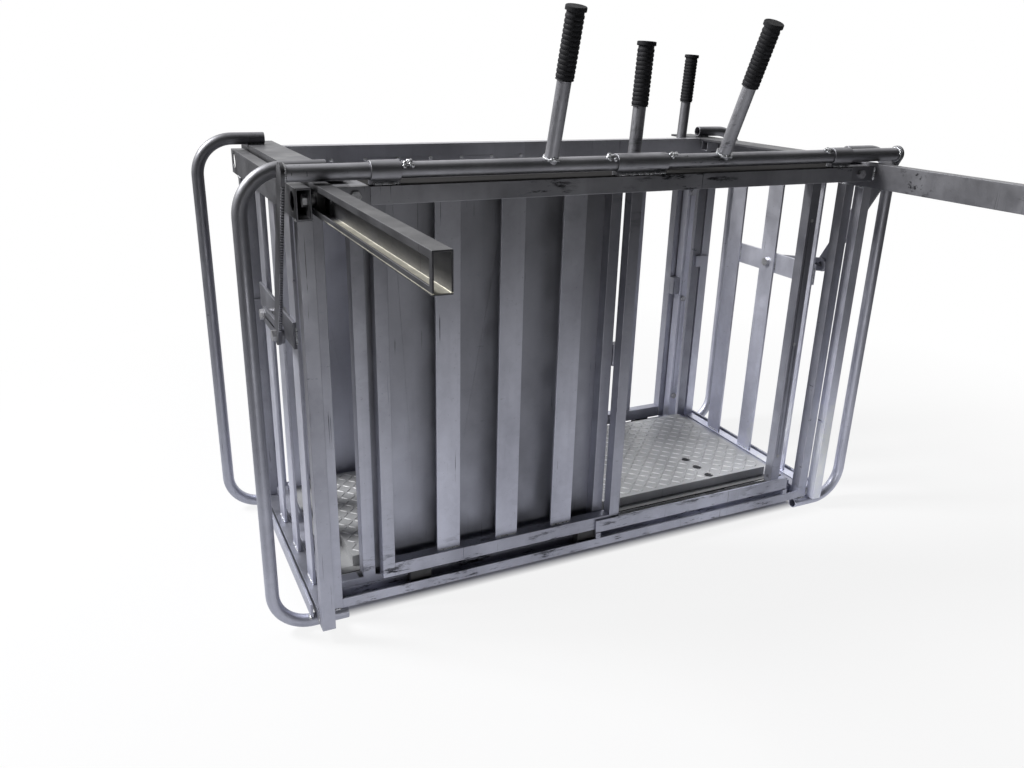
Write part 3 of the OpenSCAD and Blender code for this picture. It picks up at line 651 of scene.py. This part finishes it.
# Painted shade and dark dirt on the floor bearers and joists, seen through the floor's holes
@kept
def under_floor_dirt_and_shade(finish):
    return zinc("under_floor_dirt_and_shade", finish.dirt, shade(finish.dirt, 0.5), cloud_scale=12.0, scuff_amount=0.5)


def mottled(name, tones, patches, rough, grain=None, **settings):
    """A plainer finish in two tones, with uneven roughness; settings go to the shader.

    Patches are (noise scale, noise detail, where the second tone starts, where it is full),
    rough is (noise scale, least, most) and grain is (noise scale, noise detail, strength, depth).
    """
    tree = Tree(bpy.data.materials.new(name))
    second_tone = tree.remap(tree.noise(*patches[:2]), *patches[2:])
    uneven = tree.remap(tree.noise(rough[0]), 0.3, 0.7, *rough[1:])
    tree.set(colour=tree.mix(second_tone, *tones), rough=uneven, **settings)
    if grain:
        tree.bump(tree.noise(*grain[:2]), *grain[2:])
    return tree.owner


# Painted glint: near-white rivets, standing in for their highlights
@kept
def rivet_painted_glint(finish):
    tones = shade(finish.bright_zinc, 1.45), shade(finish.bright_zinc, 1.65)
    return mottled("rivet_painted_glint", tones, patches=(300.0, 3.0, 0.35, 0.7), rough=(200.0, 0.12, 0.22), metal=0.2)


@kept
def bolt_zinc(finish):
    return mottled(
        "bolt_zinc", (shade(finish.bright_zinc, 0.6), finish.bright_zinc), patches=(160.0, 3.0, 0.35, 0.7),
        rough=(90.0, 0.28, 0.45), grain=(600.0, 3.0, 0.08, 0.0004), metal=0.8)


@kept
def weld_metal(finish):
    return mottled(
        "weld_metal", (shade(finish.weld, 0.45), finish.weld), patches=(120.0, 5.0, 0.38, 0.6),
        rough=(200.0, 0.22, 0.42), grain=(500.0, 4.0, 0.3, 0.0006), metal=0.75)


@kept
def grip_rubber(finish):
    return mottled(
        "grip_rubber", (finish.rubber, shade(finish.rubber, 2.2)), patches=(60.0, 5.0, 0.5, 0.8),
        rough=(140.0, 0.6, 0.78), grain=(900.0, 3.0, 0.15, 0.0004), metal=0.0, ior=1.3)


# Painted shade: the glides near black for the shade they sit in
@kept
def glide_painted_shade(finish):
    return mottled(
        "glide_painted_shade", (finish.nylon, shade(finish.nylon, 0.6)), patches=(40.0, 5.0, 0.5, 0.75),
        rough=(80.0, 0.4, 0.55), grain=(400.0, 3.0, 0.08, 0.0004), metal=0.0)


def dress(nodes, finish, edge):
    """Gives CAD nodes a finish, welds their split corners and rounds their edges."""
    for name in nodes:
        node = NODES[name]
        node.data.materials.clear()
        node.data.materials.append(finish)
        old_normals = node.data.attributes.get("custom_normal")
        if old_normals:
            node.data.attributes.remove(old_normals)
        for face in node.data.polygons:
            face.material_index = 0
            face.use_smooth = True
        weld = node.modifiers.new("join_corners", "WELD")
        weld.merge_threshold = 0.00001
        rounding = node.modifiers.new("round_edges", "BEVEL")
        rounding.width = edge
        rounding.segments = 2
        rounding.limit_method = "ANGLE"
        rounding.angle_limit = math.radians(40)
        flats = node.modifiers.new("keep_flats", "WEIGHTED_NORMAL")
        flats.weight = 80


def nodes_with(slot):
    """Names of the CAD nodes that have this material slot."""
    return [name for name in NODES if SLOTS[name] == slot]


def tone_of(name):
    """Name of the painted light or shade tone of a tube or bar; None is the plain zinc."""
    return next((tone_name for tone_name, starts in PAINTED_LIGHT_TONES.items() if name.startswith(starts)), None)


# Operators: finishes of the CAD pieces

class CRATE_OT_tubes(bpy.types.Operator):
    """Galvanised finish and rounded edges on every tube and bar"""
    bl_idname = "crate.tubes"
    bl_label = "Tubes and bars"

    def execute(self, context):
        edge = context.scene.crate_detail.edge
        for name in nodes_with("galvanised_tube"):
            # The floor bearers and joists take dark dirt and painted shade
            if name in ("floor_bearers", "floor_joists"):
                finish = under_floor_dirt_and_shade()
            elif name == "near_top_rail":
                finish = rail_zinc()
            else:
                finish = zinc_tube(tone_of(name))
            dress([name], finish, edge)
        return {"FINISHED"}


class CRATE_OT_sheets(bpy.types.Operator):
    """Rolled finish on the side sheets and the floor plate"""
    bl_idname = "crate.sheets"
    bl_label = "Sheets and floor"

    def execute(self, context):
        edge = context.scene.crate_detail.thin_edge
        for side in DOORS:
            dress([f"{side}_side_sheet"], sheet_zinc(side), edge)
        dress(["floor_plate"], floor_metal(), edge)
        return {"FINISHED"}


class CRATE_OT_fasteners(bpy.types.Operator):
    """Bright finish on bolts and pins, near-white rivets with a painted glint, and a dome on each rivet"""
    bl_idname = "crate.fasteners"
    bl_label = "Bolts and rivets"

    def execute(self, context):
        edge = context.scene.crate_detail.thin_edge
        dress([name for name in nodes_with("zinc_fastener") if name != "sheet_rivets"], bolt_zinc(), edge)
        dress(["sheet_rivets"], rivet_painted_glint(), edge)
        rivets = islands("sheet_rivets")
        halfway = middle(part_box("end_posts")).y
        dome_radius = 0.0043
        flatness = 0.75

        def build(bm):
            for box in rivets:
                centre = middle(box)
                centre.y = box[1].y if centre.y < halfway else box[0].y
                dome = Matrix.Translation(centre) @ Matrix.Diagonal((1.0, flatness, 1.0, 1.0))
                bmesh.ops.create_icosphere(bm, subdivisions=2, radius=dome_radius, matrix=dome)

        new_piece("rivet_domes", build, "frame", rivet_painted_glint())
        return {"FINISHED"}


class CRATE_OT_grips(bpy.types.Operator):
    """Black rubber on the grips, and the glides painted near black for the shade they sit in"""
    bl_idname = "crate.grips"
    bl_label = "Grips and glides"

    def execute(self, context):
        edge = context.scene.crate_detail.thin_edge
        dress(nodes_with("rubber_grip"), grip_rubber(), edge)
        dress(nodes_with("nylon"), glide_painted_shade(), edge)
        return {"FINISHED"}


# Operators: forms laid on the CAD pieces

class CRATE_OT_chequer(bpy.types.Operator):
    """Raised lugs of the chequer plate, each at a right angle to the next"""
    bl_idname = "crate.chequer"
    bl_label = "Chequer plate"

    def execute(self, context):
        detail = context.scene.crate_detail
        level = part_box("floor_plate")[1].z
        low, high = plate_rim()
        margin = 0.012
        hole_room = 0.020
        pitch = detail.lug_pitch
        columns = int((high.x - low.x - 2 * margin) / pitch)
        rows = int((high.y - low.y - 2 * margin) / pitch)
        holes = [
            Vector(mount["pos_m"]).to_2d() for mount in frame["record"]["mounts"] if mount["kind"] == "bore"]
        halfway = middle((low, high))
        places = [
            (column + row, Vector((
                halfway.x + (column - columns / 2) * pitch, halfway.y + (row - rows / 2) * pitch)))
            for column in range(columns + 1) for row in range(rows + 1)]

        def lay(turn, degrees):
            def build(bm):
                for order, centre in places:
                    clear = all((centre - hole).length > hole_room for hole in holes)
                    if clear and order % 2 == turn:
                        self.lug(bm, centre, level, math.radians(degrees), detail)
            return build

        # One family of lugs takes a painted highlight; the other is the plain floor metal
        new_piece("chequer_lugs_highlit", lay(0, -45), "frame", lug_painted_highlight())
        new_piece("chequer_lugs_plain", lay(1, 45), "frame", floor_metal())
        return {"FINISHED"}

    @staticmethod
    def lug(bm, centre, level, lean, detail):
        """A low bar with pointed, sloping ends."""
        along = Vector((math.cos(lean), math.sin(lean), 0))
        across = Vector((-math.sin(lean), math.cos(lean), 0))
        sunk = 0.0002
        end_slope, ridge_width = 0.12, 0.22
        base = Vector((centre.x, centre.y, level - sunk))
        rim, ridge = [], []
        steps = 8
        for side in (1, -1):
            for k in range(steps + 1):
                if side == -1 and k in (0, steps):
                    continue
                part = (k / steps) * 2 - 1
                wide = math.sqrt(1 - part * part)
                order = part * side
                point = base + along * (order * detail.lug_length / 2)
                rim.append(bm.verts.new(point + across * side * wide * detail.lug_width / 2))
                ridge.append(bm.verts.new(
                    point - along * order * detail.lug_length * end_slope
                    + across * side * wide * detail.lug_width * ridge_width
                    + Vector((0, 0, detail.lug_height))))
        add_skin(bm, rim, ridge)
        bm.faces.new(ridge)
        bm.faces.new(rim[::-1])


class CRATE_OT_gate_welds(bpy.types.Operator):
    """Beads where the slats, rails and stiles of the end gates meet"""
    bl_idname = "crate.gate_welds"
    bl_label = "Gate welds"

    def execute(self, context):
        slat_inset, crossbar_inset = 0.004, 0.008
        for side in GATES:
            rails = sorted(islands(f"{side}_gate_rails"), key=lambda box: box[0].z)
            foot, crossbar = rails[0], rails[-1]
            under_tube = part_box(f"{side}_gate_top_tube")[0].z
            lines = []
            for low, high in islands(f"{side}_gate_slats"):
                for x in (low.x, high.x):
                    lines.append(bead_y(x, low, high, foot[1].z, slat_inset))
                    lines.append(bead_y(x, low, high, under_tube, slat_inset))
                x = low.x if side == "left" else high.x
                for y in (low.y, high.y):
                    lines.append(bead_z(x, y, *crossbar, crossbar_inset))
            for low, high in islands(f"{side}_gate_stiles"):
                inner = high.y if middle((low, high)).y < middle(foot).y else low.y
                for x in (foot[0].x, foot[1].x):
                    lines.append(bead_z(x, inner, *foot))
                    lines.append(bead_y(x, low, high, under_tube))
            weld_piece(f"{side}_gate_welds", f"{side}_gate", THIN_BEAD, lines)
        return {"FINISHED"}


class CRATE_OT_door_welds(bpy.types.Operator):
    """Beads at the slats, rails and handle of the side doors"""
    bl_idname = "crate.door_welds"
    bl_label = "Door welds"

    def execute(self, context):
        handle_radius, ring_radius = 0.0127, 0.0126
        above_foot = 0.0005
        for side in DOORS:
            rails = sorted(islands(f"{side}_door_rails"), key=lambda box: box[0].z)
            foot, head = rails[0], rails[-1]
            lines = []
            for low, high in islands(f"{side}_door_slats"):
                for y in (low.y, high.y):
                    lines.append(bead_x(low, high, y, low.z))
                    lines.append(bead_x(low, high, y, high.z))
            clear_of_strip = foot[1].y if side == "near" else foot[0].y
            for x in (foot[0].x, foot[1].x):
                lines.append(bead_z(x, clear_of_strip, *foot))
                for y in (foot[0].y, foot[1].y):
                    lines.append(bead_z(x, y, *head))
            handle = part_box(f"{side}_door_handle")
            base = Vector((handle[0].x + handle_radius, middle(handle).y, handle[0].z + above_foot))
            rings = [(base, (0, 0, 1), ring_radius)]
            weld_piece(f"{side}_door_welds", f"{side}_door", THIN_BEAD, lines, rings)
        return {"FINISHED"}


class CRATE_OT_lever_welds(bpy.types.Operator):
    """Weld metal at the foot of each lever, on its shaft's stops and at its crank"""
    bl_idname = "crate.lever_welds"
    bl_label = "Lever welds"

    def execute(self, context):
        foot_rise, foot_radius = 0.0128, 0.0134
        crank_sunk, crank_radius = 0.001, 0.0138
        for side, way in zip(GATES, (-1, 1)):
            pivot = lever_pivot(side)
            foot = Vector((middle(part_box(f"{side}_lever_tube")).x, pivot.y, pivot.z))
            grip = middle(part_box(f"{side}_lever_grip"))
            aim = Vector((foot.x, grip.y, grip.z)) - foot
            aim.normalize()
            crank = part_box(f"{side}_crank")
            inner = crank[1].x if side == "left" else crank[0].x
            rings = [
                (foot + aim * foot_rise, aim, foot_radius),
                (Vector((inner - way * crank_sunk, pivot.y, pivot.z)), (1, 0, 0), crank_radius),
            ]
            chance = random.Random(side)
            lumps = self.stop_lumps(way, pivot, chance) + self.foot_lumps(foot, aim, chance)
            weld_piece(f"{side}_lever_welds", f"{side}_lever", LEVER_BEAD, (), rings, lumps)
        return {"FINISHED"}

    @staticmethod
    def stop_lumps(way, pivot, chance):
        """Weld metal on the two stops of a shaft, beside its bearings."""
        bearings = sorted(islands("shaft_bearings"), key=lambda box: way * box[0].x)
        end_side, mid_side = (0, 1) if way > 0 else (1, 0)
        end_gap, mid_gap = 0.020, 0.006
        starts = bearings[-1][end_side].x - way * end_gap, bearings[1][mid_side].x + way * mid_gap
        count = 9
        run = 0.014
        stop_radius = 0.0142
        smallest, largest = 0.0028, 0.0046
        lean, spread = 25, 34  # degrees
        lumps = []
        for start in starts:
            for k in range(count):
                turn = math.radians(lean + chance.uniform(-spread, spread))
                out = Vector((0, -math.sin(turn), math.cos(turn))) * stop_radius
                place = Vector((start + way * run * k / (count - 1), pivot.y, pivot.z))
                lumps.append((place + out, chance.uniform(smallest, largest)))
        return lumps

    @staticmethod
    def foot_lumps(foot, aim, chance):
        """Weld metal round the foot of a lever, lower along the shaft than across it."""
        along = Vector((1, 0, 0))
        across = aim.cross(along)
        count = 12
        ring_radius = 0.0136
        rise, dip = 0.0146, 0.0048
        smallest, largest = 0.0026, 0.0044
        lumps = []
        for k in range(count):
            turn = 2 * math.pi * k / count + chance.uniform(-0.2, 0.2)
            out = along * math.cos(turn) + across * math.sin(turn)
            height = rise - dip * math.cos(turn) ** 2
            lumps.append((foot + out * ring_radius + aim * height, chance.uniform(smallest, largest)))
        return lumps


class CRATE_OT_frame_welds(bpy.types.Operator):
    """Beads on the fixed frame: sockets, bearings, posts, loops and lips"""
    bl_idname = "crate.frame_welds"
    bl_label = "Frame welds"

    def execute(self, context):
        lines, heavy = [], []
        foot_inset, head_inset, side_inset = 0.002, 0.001, 0.004
        for low, high in islands("rail_sockets"):
            x = low.x if low.x < 0 else high.x
            y = low.y if low.y < 0 else high.y
            heavy.append(((x, y, low.z + foot_inset), (x, y, high.z - head_inset)))
            lines.append(bead_y(x, low, high, low.z, side_inset))
        half_seat, above_rail = 0.0095, 0.002
        seat_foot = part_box("near_top_rail")[1].z + above_rail
        for low, high in islands("shaft_bearings"):
            y = middle((low, high)).y
            for shift in (-half_seat, half_seat):
                heavy.append(bead_x(low, high, y + shift, seat_foot))
        track_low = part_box("left_gate_track")[0].z
        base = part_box("end_posts")[0].z
        for low, high in islands("end_posts"):
            for x in (low.x, high.x):
                lines.append(bead_y(x, low, high, track_low))
            for y in (low.y, high.y):
                lines.append(bead_x(low, high, y, track_low))
                lines.append(bead_x(low, high, y, base))
        plates = islands("end_top_plates")
        outer_inset, inner_inset = 0.004, 0.034
        loop_side, above_plate = 0.006, 0.001
        for side in GATES:
            plate = plates[0] if side == "left" else plates[-1]
            level = plate[1].z + above_plate
            insets = (outer_inset, inner_inset) if side == "left" else (inner_inset, outer_inset)
            for loop in islands(f"{side}_loops"):
                for y in (middle(loop).y - loop_side, middle(loop).y + loop_side):
                    lines.append(((plate[0].x + insets[0], y, level), (plate[1].x - insets[1], y, level)))
        lip_inset, half_run = 0.005, 0.008
        for low, high in islands("gate_guide_lips"):
            outer = low.x if low.x < 0 else high.x
            for y in (low.y + lip_inset, high.y - lip_inset):
                heavy.append(((outer, y - half_run, base), (outer, y + half_run, base)))
        weld_piece("frame_welds", "frame", THIN_BEAD, lines)
        weld_piece("frame_heavy_welds", "frame", HEAVY_BEAD, heavy)
        return {"FINISHED"}


class CRATE_OT_crank_teeth(bpy.types.Operator):
    """Row of cut marks along the near edge of each crank"""
    bl_idname = "crate.crank_teeth"
    bl_label = "Crank cut marks"

    def execute(self, context):
        detail = context.scene.crate_detail
        for side in GATES:
            pivot = lever_pivot(side)
            bolt = middle(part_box(f"{side}_crank_bolt"))
            down = Vector((0, bolt.y - pivot.y, bolt.z - pivot.z))
            reach = down.length
            down.normalize()
            across = Vector((0, down.z, -down.y))
            low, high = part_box(f"{side}_crank")
            half_width = 0.0175
            end_gap = 0.015
            thick = Vector(((high.x - low.x) * 0.5, 0, 0))
            count = int((reach - 2 * end_gap) / detail.tooth)

            def build(bm):
                for k in range(count):
                    along = end_gap + k * detail.tooth
                    centre = Vector(((low.x + high.x) / 2, pivot.y, pivot.z)) + down * along
                    centre += across * half_width
                    upper = centre - down * detail.tooth * 0.5
                    lower = centre + down * detail.tooth * 0.45
                    tip = centre + across * detail.tooth_height
                    base = (upper - thick, upper + thick, lower + thick, lower - thick)
                    quad = [bm.verts.new(point) for point in base]
                    top = [bm.verts.new(point) for point in (tip - thick, tip + thick)]
                    bm.faces.new((quad[0], quad[1], top[1], top[0]))
                    bm.faces.new((quad[2], quad[3], top[0], top[1]))
                    bm.faces.new((quad[1], quad[2], top[1]))
                    bm.faces.new((quad[3], quad[0], top[0]))
                    bm.faces.new(quad[::-1])

            new_piece(f"{side}_crank_marks", build, f"{side}_lever", zinc_tube(None))
        return {"FINISHED"}


class CRATE_OT_stage(bpy.types.Operator):
    """Pale floor, soft lamps and the camera at the photograph's angle"""
    bl_idname = "crate.stage"
    bl_label = "Stage"

    def execute(self, context):
        scene = context.scene
        stage = scene.crate_stage
        self.add_floor(stage)
        self.add_sky(scene, stage)
        self.add_lamp("key", stage.key_place, target=(0.0, 0.2, 0.3), size=1.2, power=stage.key_power)
        self.add_lamp(
            "fill", place=(-0.7, -1.9, 0.12), target=(-0.1, 0.0, 0.0), size=0.8, power=stage.fill_power,
            spread=math.radians(70))
        self.add_camera(scene, stage)
        scene.view_settings.view_transform = "Standard"
        return {"FINISHED"}

    @staticmethod
    def not_under_crate(tree):
        """0 on the floor inside the corner posts, in the crate's shadow, and 1 elsewhere."""
        low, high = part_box("end_posts")
        spot = tree.spot()
        edge = 0.03
        along = tree.remap(tree.math("ABSOLUTE", spot["X"]), high.x - edge, high.x)
        near = tree.remap(spot["Y"], low.y + edge, low.y)
        far = tree.remap(spot["Y"], high.y - edge, high.y)
        return tree.math("MAXIMUM", along, tree.math("MAXIMUM", near, far))

    def add_floor(self, stage):
        """Pale floor, white for the camera but for the crate's shadow, and a cool glow in the metal."""
        mesh = bpy.data.meshes.new("floor")
        half = 20.0
        level = -0.0005
        mesh.from_pydata(
            [(-half, -half, level), (half, -half, level), (half, half, level), (-half, half, level)],
            [], [(0, 1, 2, 3)])
        floor = add_object("floor", mesh)
        tree = Tree(bpy.data.materials.new("floor_pale"))
        faint = tree.remap(tree.noise(3.0), 0.2, 0.8, 0.97, 1.0)
        pale = tree.mix(1.0, stage.floor, faint, "MULTIPLY")
        tree.set(colour=pale, rough=0.9)
        path = tree.add("ShaderNodeLightPath").outputs
        away = tree.add("ShaderNodeVectorMath", {0: tree.place}, operation="LENGTH").outputs["Value"]
        open_floor = tree.times(tree.remap(away, 1.0, 2.2, 0.88, 1.0), self.not_under_crate(tree))
        seen = tree.times(path["Is Camera Ray"], open_floor)
        mirrored = tree.mirrored(path)
        glow = tree.remap(away, 0.8, 2.6, stage.floor_glow, 0.06)
        strength = tree.math("MAXIMUM", tree.times(mirrored, glow), path["Is Camera Ray"])
        tint = tree.mix(path["Is Camera Ray"], stage.glow_colour, (1.0, 1.0, 1.0))
        shine = tree.add("ShaderNodeEmission", {"Color": tint, "Strength": strength})
        both = tree.add("ShaderNodeMixShader", {1: tree.shader.outputs[0], 2: shine.outputs[0]})
        tree.feed(both.inputs[0], tree.math("MAXIMUM", seen, tree.times(mirrored, 0.9)))
        tree.links.new(both.outputs[0], tree.nodes["Material Output"].inputs["Surface"])
        mesh.materials.append(tree.owner)

    @staticmethod
    def add_sky(scene, stage):
        """White for the camera, and for the metal a backdrop that is bright ahead and dark behind."""
        scene.world = bpy.data.worlds.new("sky")
        tree = Tree(scene.world, "Background", "Generated")
        tree.feed(tree.shader.inputs["Color"], (1.0, 1.0, 1.0, 1.0))
        backdrop = tree.remap(tree.spot()["Y"], -0.35, 0.25, stage.dark_side, 1.0)
        path = tree.add("ShaderNodeLightPath").outputs
        lit = tree.times(backdrop, tree.remap(tree.mirrored(path), 0.0, 1.0, stage.sky, 1.0))
        tree.feed(tree.shader.inputs["Strength"], tree.math("MAXIMUM", path["Is Camera Ray"], lit))

    @staticmethod
    def add_lamp(name, place, target, size, power, spread=math.pi):
        lamp = bpy.data.lights.new(name, "AREA")
        lamp.shape = "DISK"
        lamp.size = size
        lamp.energy = power
        lamp.spread = spread
        lamp_object = add_object(name, lamp)
        lamp_object.location = place
        lamp_object.rotation_euler = (Vector(target) - Vector(place)).to_track_quat("-Z", "Y").to_euler()
        lamp_object.visible_camera = False

    @staticmethod
    def add_camera(scene, stage):
        """Camera turned by azimuth and elevation, then rolled about its view."""
        turned = Matrix.Rotation(-stage.azimuth, 4, "Z")
        tipped = Matrix.Rotation(math.pi / 2 - stage.elevation, 4, "X")
        rolled = Matrix.Rotation(stage.roll, 4, "Z")
        data = bpy.data.cameras.new("camera")
        data.sensor_fit = "HORIZONTAL"
        data.sensor_width = 36.0
        data.lens = stage.lens
        scene.camera = add_object("camera", data)
        scene.camera.matrix_world = Matrix.Translation(stage.camera_place) @ turned @ tipped @ rolled


class CRATE_PT_panel(bpy.types.Panel):
    """Lists the crate's operators and settings"""
    bl_idname = "CRATE_PT_panel"
    bl_label = "Sheep weighing crate"
    bl_space_type = "VIEW_3D"
    bl_region_type = "UI"
    bl_category = "Crate"

    def draw(self, context):
        for operator in OPERATORS:
            self.layout.operator(operator.bl_idname)
        for group in GROUPS:
            settings = getattr(context.scene, group)
            column = self.layout.column(align=True)
            for key in settings.__annotations__:
                column.prop(settings, key)


OPERATORS = (
    CRATE_OT_stage, CRATE_OT_tubes, CRATE_OT_sheets, CRATE_OT_fasteners, CRATE_OT_grips,
    CRATE_OT_chequer, CRATE_OT_gate_welds, CRATE_OT_door_welds, CRATE_OT_lever_welds,
    CRATE_OT_frame_welds, CRATE_OT_crank_teeth,
)
GROUPS = {"crate_finish": CrateFinish, "crate_detail": CrateDetail, "crate_stage": CrateStage}


def register():
    for group in GROUPS.values():
        bpy.utils.register_class(group)
    for name, group in GROUPS.items():
        setattr(bpy.types.Scene, name, PointerProperty(type=group))
    for item in (*OPERATORS, CRATE_PT_panel):
        bpy.utils.register_class(item)


def unregister():
    for item in (CRATE_PT_panel, *reversed(OPERATORS)):
        bpy.utils.unregister_class(item)
    for name, group in GROUPS.items():
        delattr(bpy.types.Scene, name)
        bpy.utils.unregister_class(group)


def main():
    register()
    for operator in OPERATORS:
        group, name = operator.bl_idname.split(".")
        getattr(getattr(bpy.ops, group), name)()


if __name__ == "__main__":
    main()
